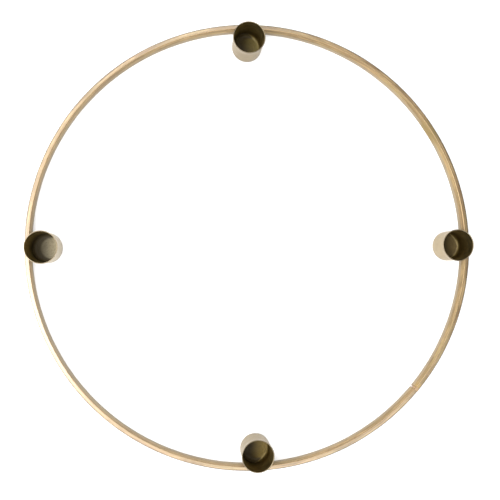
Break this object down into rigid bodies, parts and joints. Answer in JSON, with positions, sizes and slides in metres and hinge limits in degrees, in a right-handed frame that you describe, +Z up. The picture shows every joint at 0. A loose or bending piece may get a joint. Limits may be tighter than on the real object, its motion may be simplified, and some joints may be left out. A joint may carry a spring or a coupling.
{
  "type": "candle wreath frame",
  "caption": "Round flat-bar hoop standing on edge, with small open candle cups fixed inside its rim, for a table wreath.",
  "frame": {"origin": "centre of the hoop, on the plane that the hoop and the cups stand on", "axes": "+Z up, out of the cups' mouths; +X towards candle cup 1"},
  "size_m": [0.35, 0.35, 0.028],
  "materials": {
    "hoop_brass": "satin brushed brass finish, clear lacquered",
    "ground_weld": "ground flush, slightly paler than the bar",
    "cup_brass": "pale brushed brass outside, dark antique brown inside",
    "braze": "cast, lightly rippled"
  },
  "bodies": {
    "root": {"hoop_band": "hoop_brass", "hoop_seam_weld": "ground_weld", "candle_cup_1": "cup_brass", "candle_cup_2": "cup_brass", "candle_cup_3": "cup_brass", "candle_cup_4": "cup_brass", "cup_braze_1": "braze", "cup_braze_2": "braze", "cup_braze_3": "braze", "cup_braze_4": "braze"}
  },
  "joints": []
}
